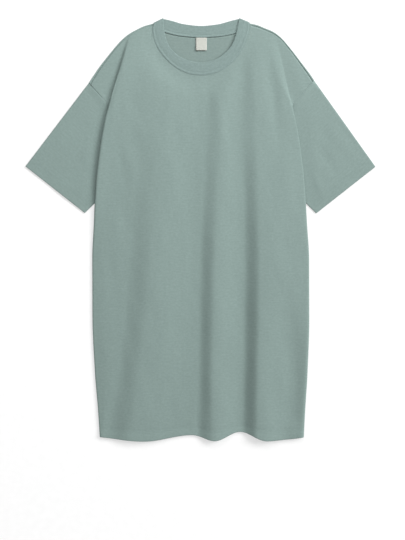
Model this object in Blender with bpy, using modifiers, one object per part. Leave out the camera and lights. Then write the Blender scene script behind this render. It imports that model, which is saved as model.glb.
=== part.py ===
"""T-shirt dress of cotton jersey, laid out flat on its back.

The neck points along +Y, the wearer's left side lies at +X and the cloth rests
on the plane z = 0.  Six sewn pieces: front, back, two sleeves, a rib neckband
and a plain woven label.  The sides of the body are rolled over the sleeves, and
long soft waves run down the skirt to the hem.
"""
import math

import bpy
import bmesh
from mathutils import Vector

MM = 0.001

# ---------------------------------------------------------------- driving dimensions
CLOTH = 1.2             # wall of the jersey, mm
RIB = 2.0               # doubled rib of the neckband
TAB = 1.0               # folded ribbon of the label
SEAM_GAP = 0.3          # air between two pieces at a seam

MIDDLE_Y = 2.7          # middle of the dress's length, which becomes the origin
NECK_X = 2.4            # middle of the neck opening
RIGHT, LEFT = -1, 1     # the wearer's sides: right at -X, left at +X
ARMHOLE_TOP = {RIGHT: (264.4, 348.4), LEFT: (269.0, 355.5)}    # outer end of each shoulder
CHEST_CROSSING = 302.0  # height at which the side fold crosses the armhole seam
UNDERARM_Y = 78.0
HEM_Y = -488.0

CUFF_TOP = (415.0, 150.5)           # outer corner of the cuff
CUFF_BOTTOM = (274.5, 40.0)         # inner corner of the cuff

LABEL_WIDTH = 26.0
LABEL_LENGTH = 30.0

FLOOR_LAYER = CLOTH / 2                         # middle of the layer on the floor
SECOND_LAYER = FLOOR_LAYER + CLOTH + SEAM_GAP   # middle of the layer on top of it
THIRD_LAYER = SECOND_LAYER + CLOTH + SEAM_GAP
NECK_LEVEL = 5.0        # middle of the front neckline and of the front of the band

# Colours, linear.
JERSEY = (0.262, 0.332, 0.307)
RIB_KNIT = (0.250, 0.318, 0.294)
RIBBON = (0.80, 0.80, 0.76)

# ---------------------------------------------------------------- mesh density
ROWS_SKIRT = 27         # from the chest crossing down to the hem
ROWS_YOKE = 8           # from the chest crossing up to the shoulder
COLUMNS_SHOULDER = 6    # on each side of the neckline
COLUMNS_NECK = 28
COLUMNS_ROLL = 7        # round each side fold
ROWS_SLEEVE = 10


class Table:
    """Rows of named columns; the first column rises or falls all the way down."""

    def __init__(self, columns, rows):
        self.names = columns.split()
        self.rows = sorted(rows)

    def column(self, name):
        place = self.names.index(name)
        return [row[place] for row in self.rows]

    def at(self, name, key):
        return smooth(self.column(self.names[0]), self.column(name), key)


def smooth(keys, values, key):
    """A smooth curve without overshoot through the values at rising keys."""
    if key <= keys[0]:
        return values[0]
    if key >= keys[-1]:
        return values[-1]
    slopes = [(values[i + 1] - values[i]) / (keys[i + 1] - keys[i]) for i in range(len(keys) - 1)]
    tangents = [slopes[0]]
    for before, after in zip(slopes, slopes[1:]):
        same_way = before * after > 0
        tangents.append(2 * before * after / (before + after) if same_way else 0.0)
    tangents.append(slopes[-1])
    i = max(j for j in range(len(keys) - 1) if keys[j] <= key)
    span = keys[i + 1] - keys[i]
    t = (key - keys[i]) / span
    return (values[i] * (1 + 2 * t) * (1 - t) ** 2 + values[i + 1] * t * t * (3 - 2 * t)
            + span * t * (1 - t) * (tangents[i] * (1 - t) - tangents[i + 1] * t))


def ease(t):
    """0 below 0, 1 above 1 and a soft step between."""
    t = min(max(t, 0.0), 1.0)
    return t * t * (3 - 2 * t)


def mix(a, b, t):
    return a + (b - a) * t


# ---------------------------------------------------------------- outline of the body
# Half widths from the centre line: `fold` is the rolled side, `edge` the cut edge
# of the front below it, which is the armhole seam down to the underarm and the
# side seam from there on.
SIDES = Table("y centre fold edge edge_z fold_z", [
    (302.0, 0.0, 217.3, 221.5, THIRD_LAYER, 10.0),
    (262.0, 0.0, 225.8, 211.0, THIRD_LAYER, 10.5),
    (215.0, 0.0, 233.0, 208.5, THIRD_LAYER, 11.0),
    (170.0, 0.0, 238.7, 211.0, THIRD_LAYER, 11.0),
    (125.0, 0.0, 243.7, 219.0, THIRD_LAYER, 11.0),
    (100.0, 0.0, 246.0, 227.0, THIRD_LAYER, 10.8),
    (78.0, 0.0, 247.9, 236.0, THIRD_LAYER, 10.5),
    (48.0, 0.0, 249.6, 234.5, 2.2, 9.8),
    (20.0, 0.0, 250.8, 233.0, FLOOR_LAYER, 9.2),
    (-70.0, 0.2, 255.4, 235.5, FLOOR_LAYER, 8.6),
    (-203.0, 0.2, 255.4, 235.5, FLOOR_LAYER, 8.2),
    (-335.0, 1.0, 250.8, 230.0, FLOOR_LAYER, 8.2),
    (-430.0, 2.4, 243.8, 223.0, FLOOR_LAYER, 8.4),
    (-488.0, 3.2, 240.0, 219.0, FLOOR_LAYER, 8.6),
])
ROLL_RUN = 12.0         # how far inside the side fold the cloth begins to turn

# Shoulder line from the neckband out to the armhole: half width and, for the
# wearer's right and left, the height there.
SHOULDER = Table("x right_y left_y", [
    (110.0, 490.0, 491.0), (131.0, 484.2, 487.0), (150.0, 475.5, 479.7),
    (172.0, 462.5, 470.3), (190.0, 446.5, 457.0), (212.0, 420.5, 432.0),
    (240.0, 385.0, 395.7), (264.4, 348.4, 363.0), (269.0, 341.5, 355.5),
])
YOKE_FOLD_X = {RIGHT: 172.0, LEFT: 178.0}   # where the side folds run out into the shoulders

# Hem of the front: it swings out below each wave.
HEM = Table("x y", [
    (-240.0, -488.0), (-131.0, -498.0), (-20.0, -483.5), (34.0, -496.5),
    (94.0, -476.0), (158.0, -496.5), (210.0, -493.0), (245.0, -488.5),
])
HEM_SWING = 95.0        # how far up the skirt the swing of the hem is still felt

# Hem of the back, which stays hidden behind the front.
BACK_HEM = Table("x y", [
    (-214.0, -484.0), (-150.0, -477.0), (0.0, -472.0), (150.0, -472.0), (219.0, -484.0),
])
EDGE_DRAW = 1.5 * SEAM_GAP   # sideways gap of the front: about 0.3 mm across a slanted seam
BACK_DRAW = 2.6 * SEAM_GAP   # the back's, inside the front's

# Waves of the front, one row each, from the wearer's right to the left: where it
# runs and how high it lies at the chest, waist, hip and hem.  Each wave rises
# steeply on the wearer's right and falls away gently to the left.
CHEST, WAIST, HIP = 240.0, -100.0, -330.0
WAVES = [
    # name          chest_x chest_z waist_x waist_z hip_x hip_z hem_x hem_z
    ("dip_right", -145.0, 6.8, -176.0, 5.2, -197.0, 5.0, -218.0, 4.8),
    ("crest_right", -95.0, 10.0, -122.0, 11.5, -136.0, 12.8, -138.0, 13.5),
    ("dip_middle", 10.0, 6.0, -3.0, 4.2, -11.0, 3.8, -12.0, 3.8),
    ("crest_middle", 52.0, 10.0, 41.0, 13.6, 34.0, 15.8, 32.0, 15.0),
    ("dip_left", 96.0, 6.2, 97.0, 4.0, 96.0, 3.4, 97.0, 3.4),
    ("crest_left", 139.0, 10.4, 141.0, 14.2, 142.0, 17.0, 148.0, 16.0),
    ("dip_side", 182.0, 6.8, 203.0, 6.2, 208.0, 5.6, 214.0, 5.2),
]

# ---------------------------------------------------------------- neckband and armhole
# Stations round the front of the neckband, from the wearer's right to the left.
BAND_FRONT = [
    # outer_x outer_y inner_x inner_y
    (-110.7, 489.0, -87.5, 500.5),
    (-113.0, 475.0, -86.3, 486.5),
    (-110.0, 461.0, -84.6, 468.0),
    (-103.5, 441.5, -80.0, 449.0),
    (-90.5, 420.5, -72.5, 433.5),
    (-69.0, 398.5, -54.0, 414.5),
    (-46.5, 383.5, -35.0, 404.3),
    (-18.0, 373.2, -10.5, 398.2),
    (5.0, 371.0, 5.0, 396.8),
    (38.0, 376.5, 32.5, 402.8),
    (66.8, 391.8, 53.0, 415.5),
    (89.0, 413.5, 69.0, 432.5),
    (103.0, 437.5, 77.3, 448.0),
    (111.0, 459.0, 83.2, 466.0),
    (116.0, 476.0, 87.8, 484.0),
    (116.0, 490.5, 92.0, 500.5),
]
# Stations round the back, from the wearer's left to the right.
BAND_BACK = [
    (116.0, 490.5, 92.0, 500.5),
    (103.5, 480.0, 84.0, 498.8),
    (85.0, 470.0, 72.0, 495.8),
    (45.0, 461.5, 42.0, 487.8),
    (2.4, 458.3, 2.4, 484.0),
    (-40.0, 461.5, -37.0, 487.8),
    (-80.0, 470.0, -67.0, 495.8),
    (-98.5, 479.0, -79.5, 498.8),
    (-110.7, 489.0, -87.5, 500.5),
]
BAND_FOLD_RADIUS = (NECK_LEVEL - RIB / 2) / 2
BAND_CROWN = 0.4        # the rib stands up a little along its middle
COLUMNS_BAND_BACK = 16

# Armhole seam below its straight upper end, down to the underarm: half width and height.
ARMHOLE_CURVE = [
    (221.5, 302.0), (211.0, 262.0), (208.5, 215.0), (211.0, 170.0),
    (219.0, 125.0), (227.0, 100.0), (236.0, 78.0),
]
SLEEVE_RISE = 2.2       # how far the upper layer of a sleeve stands above the lower
SLEEVE_ROLL = 0.8       # extra radius of a sleeve's folded edges, clear of the body
SLEEVE_REST = 2.0       # how far outside the body's fold the sleeve still lies flat
SLEEVE_RAMP = 60.0      # and over what width it then reaches its rise


def wave_height(x, y, first, last):
    """Height of the front at a place, between the turns of its two side folds."""
    keys, heights = [first[0]], [first[1]]
    stations = (HEM_Y, HIP, WAIST, CHEST)
    for _, *row in WAVES:
        places, levels = row[0::2][::-1], row[1::2][::-1]
        keys.append(smooth(stations, places, y))
        heights.append(smooth(stations, levels, y))
    keys.append(last[0])
    heights.append(last[1])
    i = max([j for j in range(len(keys) - 1) if keys[j] <= x] or [0])
    return mix(heights[i], heights[i + 1], ease((x - keys[i]) / (keys[i + 1] - keys[i])))


def roll(start, fold, edge, t):
    """A place on the turn from the top of the body, over the fold, to the edge.

    The turn is a cubic curve whose middle lies on the fold; it curls under where
    the edge is inside the fold and steps down where the edge is outside it.
    """
    pull_x = (8 * fold[0] - start[0] - edge[0]) / 6
    pull_y = (8 * fold[1] - start[1] - edge[1]) / 6
    before, after = (1 - t) ** 3, t ** 3
    x = before * start[0] + 3 * t * (1 - t) * pull_x + after * edge[0]
    y = before * start[1] + 3 * t * (1 - t) * pull_y + after * edge[1]
    return x, y, mix(start[2], edge[2], ease(t))


def along(points, count):
    """Places at equal steps of length on a smooth curve through rows of numbers."""
    reach = [0.0]
    for a, b in zip(points, points[1:]):
        reach.append(reach[-1] + math.dist(a[:2], b[:2]))
    steps = [reach[-1] * i / count for i in range(count + 1)]
    return [tuple(smooth(reach, [p[n] for p in points], s) for n in range(len(points[0])))
            for s in steps]


# ---------------------------------------------------------------- mesh makers
def in_frame(x, y, z):
    """A place in millimetres as a vector in metres from the dress's origin."""
    return Vector((x, y - MIDDLE_Y, z)) * MM


def new_object(name, mesh, colour, roughness, collection):
    """An object of one sewn piece with its own cloth material."""
    item = bpy.data.objects.new(name, mesh)
    collection.objects.link(item)
    material = bpy.data.materials.new(name + "_cloth")
    material.use_nodes = True
    shader = material.node_tree.nodes["Principled BSDF"]
    shader.inputs["Base Color"].default_value = (*colour, 1.0)
    shader.inputs["Roughness"].default_value = roughness
    shader.inputs["Metallic"].default_value = 0.0
    mesh.materials.append(material)
    return item


def sheet(name, rows, closed_rows=False, closed_columns=False):
    """A mesh of quads through rows of places in millimetres."""
    mesh = bpy.data.meshes.new(name)
    grid = bmesh.new()
    lines = [[grid.verts.new(in_frame(*place)) for place in row] for row in rows]
    width = len(lines[0])
    for i in range(len(lines) if closed_rows else len(lines) - 1):
        for j in range(width if closed_columns else width - 1):
            near, far = lines[i], lines[(i + 1) % len(lines)]
            grid.faces.new((near[j], near[(j + 1) % width], far[(j + 1) % width], far[j]))
    grid.to_mesh(mesh)
    grid.free()
    mesh.shade_smooth()
    return mesh


def thicken(item, wall):
    """Gives an open sheet its wall, half on each side."""
    solid = item.modifiers.new("wall", "SOLIDIFY")
    solid.thickness = wall * MM
    solid.offset = 0.0
    return item


# ---------------------------------------------------------------- front
def side_points(y, side):
    """Start of the turn, fold and edge of the front at a height, side -1 or +1."""
    centre = SIDES.at("centre", y)
    fold = SIDES.at("fold", y)
    edge = SIDES.at("edge", y)
    top = SIDES.at("fold_z", y)
    start = (centre + side * (fold - ROLL_RUN), y, top)
    return start, (centre + side * fold, y), (centre + side * edge, y, SIDES.at("edge_z", y))


def skirt_row(y):
    """One cross-section of the front below the chest crossing."""
    right_side, left_side = side_points(y, RIGHT), side_points(y, LEFT)
    turn = [i / COLUMNS_ROLL for i in range(1, COLUMNS_ROLL + 1)]
    first, last = right_side[0], left_side[0]
    count = 2 * COLUMNS_SHOULDER + COLUMNS_NECK
    row = [roll(*right_side, t) for t in reversed(turn)]
    for i in range(count + 1):
        x = mix(first[0], last[0], i / count)
        row.append((x, y, wave_height(x, y, (first[0], first[2]), (last[0], last[2]))))
    row += [roll(*left_side, t) for t in turn]
    swing = max(0.0, 1 - (y - HEM_Y) / HEM_SWING) ** 2
    return [(x, v + swing * (HEM.at("y", x) - HEM_Y), z) for x, v, z in row]


def shoulder_y(side, x):
    """Height of a shoulder line at a half width."""
    return SHOULDER.at("right_y" if side == RIGHT else "left_y", x)


def armhole(side):
    """Armhole seam of one side, from its top to the underarm, at a positive half width."""
    top, bend = ARMHOLE_TOP[side], ARMHOLE_CURVE[0]
    middle = (mix(top[0], bend[0], 0.5), mix(top[1], bend[1], 0.5))
    return [top, middle] + ARMHOLE_CURVE


def shoulder_row(side):
    """Shoulder line of the front, from the armhole top in to the last place before the neck."""
    fold_x = YOKE_FOLD_X[side]
    start = (fold_x - ROLL_RUN, shoulder_y(side, fold_x - ROLL_RUN), SECOND_LAYER)
    fold = (fold_x, shoulder_y(side, fold_x))
    edge = (*ARMHOLE_TOP[side], SECOND_LAYER)
    turn = [i / COLUMNS_ROLL for i in range(1, COLUMNS_ROLL + 1)]
    places = [roll(start, fold, edge, t)[0] for t in reversed(turn)]
    neck_x = abs(BAND_FRONT[0 if side == RIGHT else -1][0])
    places += [mix(start[0], neck_x, i / COLUMNS_SHOULDER) for i in range(COLUMNS_SHOULDER)]
    return [(side * x, shoulder_y(side, x), SECOND_LAYER) for x in places]


def top_row():
    """Upper cut edge of the front: shoulder, neckline and shoulder."""
    neckline = []
    for i, (x, y, _, _) in enumerate(along(BAND_FRONT, COLUMNS_NECK)):
        from_corner = min(i, COLUMNS_NECK - i)
        neckline.append((x, y, mix(SECOND_LAYER, NECK_LEVEL, ease(from_corner / 3))))
    return shoulder_row(RIGHT) + neckline + shoulder_row(LEFT)[::-1]


def make_front(collection):
    """The front panel: cross-sections from the hem up, lofted to the top edge."""
    heights = [mix(HEM_Y, CHEST_CROSSING, i / ROWS_SKIRT) for i in range(ROWS_SKIRT + 1)]
    rows = [skirt_row(y) for y in heights]
    base, top = rows[-1], top_row()
    for i in range(1, ROWS_YOKE + 1):
        t = i / ROWS_YOKE
        rows.append([(mix(a[0], b[0], t), mix(a[1], b[1], t), mix(a[2], b[2], t ** 3))
                     for a, b in zip(base, top)])
    for row in rows:
        row[0] = clear_of_seam(row[0])
        row[-1] = clear_of_seam(row[-1])
    item = new_object("front", sheet("front", rows), JERSEY, 0.9, collection)
    return thicken(item, CLOTH)


def clear_of_seam(place):
    """A place on the cut edge, drawn in to keep the seam gap to the sleeve."""
    x, y, z = place
    return (x - math.copysign(EDGE_DRAW, x), y, z)


# ---------------------------------------------------------------- back
def back_side(side):
    """Side seam, armhole and shoulder of the back, from the hem up, clear of its neighbours."""
    places = []
    for i in range(1, ROWS_SKIRT + 1):
        y = mix(HEM_Y, CHEST_CROSSING, i / ROWS_SKIRT)
        if y < UNDERARM_Y:
            places.append((SIDES.at("edge", y) + side * SIDES.at("centre", y), y))
    places += armhole(side)[::-1]
    steps = 2 * COLUMNS_SHOULDER
    for i in range(1, steps):
        x = mix(ARMHOLE_TOP[side][0], abs(BAND_BACK[0 if side == LEFT else -1][0]), i / steps)
        places.append((x, shoulder_y(side, x)))
    return [(side * (x - BACK_DRAW), y) for x, y in places]


def back_outline():
    """Cut edge of the back panel, once round."""
    neckline = [(x, y) for x, y, _, _ in along(BAND_BACK, COLUMNS_BAND_BACK)]
    reach = BACK_HEM.column("x")
    steps = 2 * COLUMNS_SHOULDER
    hem = [(x, BACK_HEM.at("y", x)) for x in (mix(reach[0], reach[-1], i / steps) for i in range(steps + 1))]
    return back_side(LEFT) + neckline + back_side(RIGHT)[::-1] + hem


def make_back(collection):
    """The back panel, flat on the floor: a filled outline with a wall."""
    curve = bpy.data.curves.new("back_outline", "CURVE")
    curve.dimensions = "2D"
    curve.fill_mode = "BOTH"
    curve.extrude = CLOTH / 2 * MM
    outline = back_outline()
    spline = curve.splines.new("POLY")
    spline.points.add(len(outline) - 1)
    for point, (x, y) in zip(spline.points, outline):
        point.co = (*in_frame(x, y, 0.0), 1.0)
    spline.use_cyclic_u = True
    guide = bpy.data.objects.new("back_outline", curve)
    collection.objects.link(guide)
    bpy.context.view_layer.update()
    mesh = bpy.data.meshes.new_from_object(guide.evaluated_get(bpy.context.evaluated_depsgraph_get()))
    bpy.data.objects.remove(guide)
    solid = bmesh.new()
    solid.from_mesh(mesh)
    bmesh.ops.remove_doubles(solid, verts=solid.verts, dist=0.00001)
    bmesh.ops.translate(solid, vec=(0.0, 0.0, FLOOR_LAYER * MM), verts=solid.verts)
    bmesh.ops.recalc_face_normals(solid, faces=solid.faces)
    solid.to_mesh(mesh)
    solid.free()
    mesh.name = "back"
    return new_object("back", mesh, JERSEY, 0.9, collection)


# ---------------------------------------------------------------- sleeves
def sleeve_clear(x, y):
    """0 under the body's side fold, rising to 1 well outside it."""
    bend, top = ARMHOLE_CURVE[0], ARMHOLE_TOP[LEFT]
    slope = (top[0] - bend[0]) / (top[1] - bend[1])
    inner = SIDES.at("fold", y) if y < CHEST_CROSSING else bend[0] + (y - CHEST_CROSSING) * slope
    return ease((x - inner - SLEEVE_REST) / SLEEVE_RAMP)


def sleeve_section(side, t):
    """Closed loop round a sleeve, from the armhole at 0 to the cuff at 1."""
    seam = armhole(side)
    reach = [0.0]
    for a, b in zip(seam, seam[1:]):
        reach.append(reach[-1] + math.dist(a, b))
    line = []
    for place, done in zip(seam, reach):
        across = done / reach[-1]
        cuff = (mix(CUFF_TOP[0], CUFF_BOTTOM[0], across), mix(CUFF_TOP[1], CUFF_BOTTOM[1], across))
        line.append(Vector((mix(place[0], cuff[0], t), mix(place[1], cuff[1], t))))
    top_way = (line[1] - line[0]).normalized()
    low_way = (line[-1] - line[-2]).normalized()
    base = SECOND_LAYER / 2 - FLOOR_LAYER / 2
    top_radius = base + SLEEVE_ROLL * sleeve_clear(*line[0])
    low_radius = base + SLEEVE_ROLL * sleeve_clear(*line[-1])
    line[0] = line[0] + top_way * (top_radius + CLOTH / 2)
    line[-1] = line[-1] - low_way * (low_radius + CLOTH / 2)
    loop = [(p.x, p.y, FLOOR_LAYER) for p in line]
    angles = [math.radians(a) for a in (45, 90, 135)]
    for a in angles:
        p = line[-1] + low_way * (low_radius * math.sin(a))
        loop.append((p.x, p.y, FLOOR_LAYER + low_radius * (1 - math.cos(a))))
    for i, p in reversed(list(enumerate(line))):
        across = i / (len(line) - 1)
        edge_z = FLOOR_LAYER + 2 * mix(top_radius, low_radius, across)
        rise = SLEEVE_RISE * math.sin(math.pi * across) ** 0.6 * sleeve_clear(p.x, p.y)
        loop.append((p.x, p.y, max(edge_z, SECOND_LAYER + rise)))
    for a in reversed(angles):
        p = line[0] - top_way * (top_radius * math.sin(a))
        loop.append((p.x, p.y, FLOOR_LAYER + top_radius * (1 - math.cos(a))))
    return loop


def make_sleeve(name, side, collection):
    """A flat tube of jersey, open at the armhole and at the cuff."""
    rows = [sleeve_section(side, i / ROWS_SLEEVE) for i in range(ROWS_SLEEVE + 1)]
    rows = [[(side * x, y, z) for x, y, z in row] for row in rows]
    if side == RIGHT:
        rows.reverse()
    item = new_object(name, sheet(name, rows, closed_columns=True), JERSEY, 0.9, collection)
    return thicken(item, CLOTH)


# ---------------------------------------------------------------- neckband
def band_line(station, level):
    """Across the band at a station, from its seam to its free edge."""
    outer, inner = Vector(station[:2]), Vector(station[2:])
    outer = outer + (inner - outer).normalized() * SEAM_GAP * 1.3
    shares = (0.0, 0.33, 0.67, 1.0)
    return [(*outer.lerp(inner, s), level + BAND_CROWN * math.sin(math.pi * s)) for s in shares]


def band_fold(station, outward, going_up):
    """The turn of the band on the shoulder, between its back and its front."""
    outer, inner = Vector(station[:2]), Vector(station[2:])
    way = (inner - outer).normalized()
    normal = Vector((way.y, -way.x)) * outward
    rows = []
    for degrees in (30, 60, 90, 120, 150):
        a = math.radians(degrees)
        level = RIB / 2 + BAND_FOLD_RADIUS * (1 - math.cos(a))
        shift = normal * BAND_FOLD_RADIUS * math.sin(a)
        line = band_line(station, level)
        rows.append([(x + shift.x, y + shift.y, z) for x, y, z in line])
    return rows if going_up else rows[::-1]


def make_neckband(collection):
    """One strip of doubled rib, closed into a ring and folded on both shoulders."""
    front = along(BAND_FRONT, COLUMNS_NECK)
    back = along(BAND_BACK, COLUMNS_BAND_BACK)
    rows = [band_line(s, NECK_LEVEL) for s in front]
    rows += band_fold(BAND_BACK[0], 1, False)
    rows += [band_line(s, RIB / 2) for s in back]
    rows += band_fold(BAND_BACK[-1], -1, True)
    item = new_object("neckband", sheet("neckband", rows, closed_rows=True), RIB_KNIT, 0.92, collection)
    return thicken(item, RIB)


# ---------------------------------------------------------------- label
def make_label(collection):
    """A plain ribbon tab held in the back neck seam, its free end lifting a little."""
    top_y = BAND_BACK[len(BAND_BACK) // 2][1] - SEAM_GAP
    level = CLOTH + SEAM_GAP + TAB / 2
    rows = []
    for i in range(7):
        t = i / 6
        y = top_y - LABEL_LENGTH * t
        rows.append([(NECK_X + LABEL_WIDTH * (s - 0.5), y, level + 1.6 * t * t) for s in (0, 0.5, 1)])
    item = new_object("label", sheet("label", rows), RIBBON, 0.6, collection)
    return thicken(item, TAB)


def make_dress():
    for old in list(bpy.data.objects):
        bpy.data.objects.remove(old)
    dress = bpy.data.collections.new("t_shirt_dress")
    bpy.context.scene.collection.children.link(dress)
    make_back(dress)
    make_front(dress)
    make_sleeve("sleeve_left", LEFT, dress)
    make_sleeve("sleeve_right", RIGHT, dress)
    make_neckband(dress)
    make_label(dress)


make_dress()
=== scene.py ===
"""T-shirt dress of cotton jersey, laid out flat on its back on a white table.

The script follows the dress as it is sewn: front, back, sleeves, neckband, label,
and then the table it lies on.  Lengths are in millimetres and become metres where
a mesh is made.
"""

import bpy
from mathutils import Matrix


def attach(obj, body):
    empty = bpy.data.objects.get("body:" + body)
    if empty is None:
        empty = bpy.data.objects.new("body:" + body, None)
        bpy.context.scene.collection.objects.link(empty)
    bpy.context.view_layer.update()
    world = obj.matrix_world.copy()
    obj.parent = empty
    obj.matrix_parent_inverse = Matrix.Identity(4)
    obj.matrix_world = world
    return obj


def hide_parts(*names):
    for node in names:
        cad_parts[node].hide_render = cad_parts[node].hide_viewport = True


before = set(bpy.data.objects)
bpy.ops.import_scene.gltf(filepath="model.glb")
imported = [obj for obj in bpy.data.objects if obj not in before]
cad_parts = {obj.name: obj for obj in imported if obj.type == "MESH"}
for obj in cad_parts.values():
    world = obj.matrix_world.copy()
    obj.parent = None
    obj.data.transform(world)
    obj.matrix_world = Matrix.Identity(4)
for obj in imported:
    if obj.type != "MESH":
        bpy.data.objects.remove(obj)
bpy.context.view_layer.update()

import math

import bpy
import numpy as np
from mathutils import Vector, noise

for item in bpy.context.selected_objects:       # the nodes are loaded selected
    item.select_set(False)

# ============================================================ front panel
# Cut in one piece of single jersey from the neckline to the hem, which is turned
# up 20 mm and held by twin needle stitching.  Its sides are rolled under and over
# the sleeves, and three long waves run down the skirt.
MM = 0.001
MIDDLE_Y = 2.7          # the dress's middle, where its origin is, in the numbers below
RIGHT, LEFT = -1, 1     # the wearer's sides

CLOTH = 0.8             # wall of the jersey
FLOOR_LAYER = 0.6       # middle of the layer on the table
THIRD_LAYER = 3.6       # middle of the body's turned side, on top of the sleeve
NECK_LEVEL = 4.6        # middle of the front neckline
NECK_CORNER_LEVEL = 2.9     # and where it meets the shoulders
NECK_CORNER = 0.107     # share of the neckline over which it comes up from there
CHEST_CROSSING = 302.0  # where the side fold crosses the armhole seam
HEM_Y = -488.0
ARMHOLE_TOP = {RIGHT: (264.4, 348.4), LEFT: (269.0, 355.5)}
HEM_DEPTH = 20.0
HEM_ROWS = 8
HEM_TURN = 0.43         # radius of the folded hem edge

ROWS_SKIRT = 150
ROWS_YOKE = 56
YOKE_CROWDING = 2.0     # rows of the yoke stand closer together towards the seams
COLUMNS_SHOULDER = 22   # on each side of the neckline
COLUMNS_NECK = 108
COLUMNS_ROLL = 20       # round each side fold
COLUMNS_FOLD = 7        # of these, up to the fold
ROLL_CROWDING = 1.6


class Table:
    """Rows of named columns; the first column rises all the way."""

    def __init__(self, columns, rows):
        self.names = columns.split()
        self.rows = sorted(rows)

    def column(self, name):
        place = self.names.index(name)
        return [row[place] for row in self.rows]

    def at(self, name, key):
        """A column's value where the first column has a value."""
        return smooth(self.column(self.names[0]), self.column(name), key)


def smooth(keys, values, key):
    """A smooth curve without overshoot through the values at rising keys."""
    if key <= keys[0]:
        return values[0]
    if key >= keys[-1]:
        return values[-1]
    slopes = [(values[i + 1] - values[i]) / (keys[i + 1] - keys[i]) for i in range(len(keys) - 1)]
    tangents = [slopes[0]]
    for before, after in zip(slopes, slopes[1:]):
        same_way = before * after > 0
        tangents.append(2 * before * after / (before + after) if same_way else 0.0)
    tangents.append(slopes[-1])
    i = max(j for j in range(len(keys) - 1) if keys[j] <= key)
    span = keys[i + 1] - keys[i]
    t = (key - keys[i]) / span
    return (values[i] * (1 + 2 * t) * (1 - t) ** 2 + values[i + 1] * t * t * (3 - 2 * t)
            + span * t * (1 - t) * (tangents[i] * (1 - t) - tangents[i + 1] * t))


def ease(t):
    """0 below 0, 1 above 1 and a soft step between."""
    t = np.clip(t, 0.0, 1.0)
    return t * t * (3 - 2 * t)


def mix(a, b, t):
    return a + (b - a) * t


def length_one(vectors):
    return vectors / np.linalg.norm(vectors, axis=-1, keepdims=True)


def along(points, count):
    """Places at equal steps of length on a smooth curve through rows of numbers."""
    reach = [0.0]
    for a, b in zip(points, points[1:]):
        reach.append(reach[-1] + math.dist(a[:2], b[:2]))
    steps = [reach[-1] * i / count for i in range(count + 1)]
    return [tuple(smooth(reach, [p[n] for p in points], s) for n in range(len(points[0])))
            for s in steps]


# The centre line, half widths of the rolled side and of the cut edge under it, and the
# levels of that edge and of the top of each side.
SIDES = Table("y centre fold edge edge_z right_z left_z", [
    (302.0, 0.0, 215.2, 221.5, THIRD_LAYER, 11.2, 6.4),
    (262.0, 0.0, 224.4, 211.0, THIRD_LAYER, 11.8, 6.6),
    (215.0, 0.0, 232.4, 208.5, THIRD_LAYER, 12.2, 6.8),
    (170.0, 0.0, 238.4, 211.0, THIRD_LAYER, 12.0, 7.2),
    (125.0, 0.0, 243.7, 219.0, THIRD_LAYER, 11.4, 7.8),
    (100.0, 0.0, 246.0, 227.0, THIRD_LAYER, 10.8, 8.2),
    (78.0, 0.0, 247.9, 236.0, THIRD_LAYER, 10.0, 8.6),
    (48.0, 0.0, 249.6, 234.5, 2.2, 8.8, 9.0),
    (20.0, 0.2, 250.8, 233.0, FLOOR_LAYER, 7.8, 9.6),
    (-70.0, 0.7, 255.2, 235.5, FLOOR_LAYER, 5.4, 11.0),
    (-203.0, 1.1, 255.2, 235.5, FLOOR_LAYER, 5.0, 11.4),
    (-335.0, 2.0, 250.2, 230.0, FLOOR_LAYER, 5.0, 10.6),
    (-430.0, 3.0, 243.4, 223.0, FLOOR_LAYER, 5.4, 9.6),
    (-488.0, 3.4, 240.0, 219.0, FLOOR_LAYER, 5.8, 8.4),
])
ROLL_RUN = 4.5          # how far inside the side fold the cloth begins to turn

# Shoulder line from the neckband out to the armhole, by half width.
SHOULDER = Table("x right_y left_y", [
    (110.0, 490.0, 491.0), (131.0, 484.2, 487.0), (150.0, 475.5, 479.7),
    (172.0, 462.5, 470.3), (190.0, 446.5, 457.0), (212.0, 420.5, 432.0),
    (240.0, 385.0, 395.7), (264.4, 348.4, 363.0), (269.0, 341.5, 355.5),
])
SHOULDER_LEVEL = 3.5    # middle of the cloth along the shoulders
NECK_SPREAD = 30.0      # how far from the neckline the cloth comes down to its level

# The side folds above the chest crossing.  A share here is one of the way up.
YOKE_FOLD_X = {RIGHT: 170.5, LEFT: 177.5}   # where they run out into the shoulders
YOKE_START = 0.1        # share over which they take up the shape that follows
YOKE_FALL = 2.2         # power that the waves fall by towards the shoulders
YOKE_LOW_LAYER = 3.5    # middle of the cloth between the side fold and the armhole
YOKE_SETTLE = 0.25      # share over which it comes to that level
YOKE_SWELL = {RIGHT: 0.4, LEFT: 1.0}        # how much it swells there
SWELL_PLACE, SWELL_SPREAD = 30.0, 16.0      # and how far from the fold
UPRIGHT_WIDTHS = (3.0, 8.0)     # width of the right fold's edge, low and high up
UPRIGHT_SHARES = (0.15, 0.5)    # from where, and over how much, it widens
UPRIGHT_INSIDE = 0.7    # how much of that width lies inside the fold's line
ROUND_WIDTHS = (4.0, 20.0)      # width of the left fold's edge, low and high up
ROUND_SHARE = 0.45      # over how much it widens
ROUND_FALL = 1.7        # power that it falls by, 1 for a straight slope
COLUMNS_FOLDED = 8      # columns inside the turn that the left fold reaches

# Hem of the front: it swings out below each wave.
HEM = Table("x y", [
    (-240.0, -488.0), (-131.0, -498.0), (-20.0, -483.5), (34.0, -496.5),
    (94.0, -476.0), (158.0, -496.5), (210.0, -493.0), (245.0, -488.5),
])
HEM_SWING = 95.0

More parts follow.
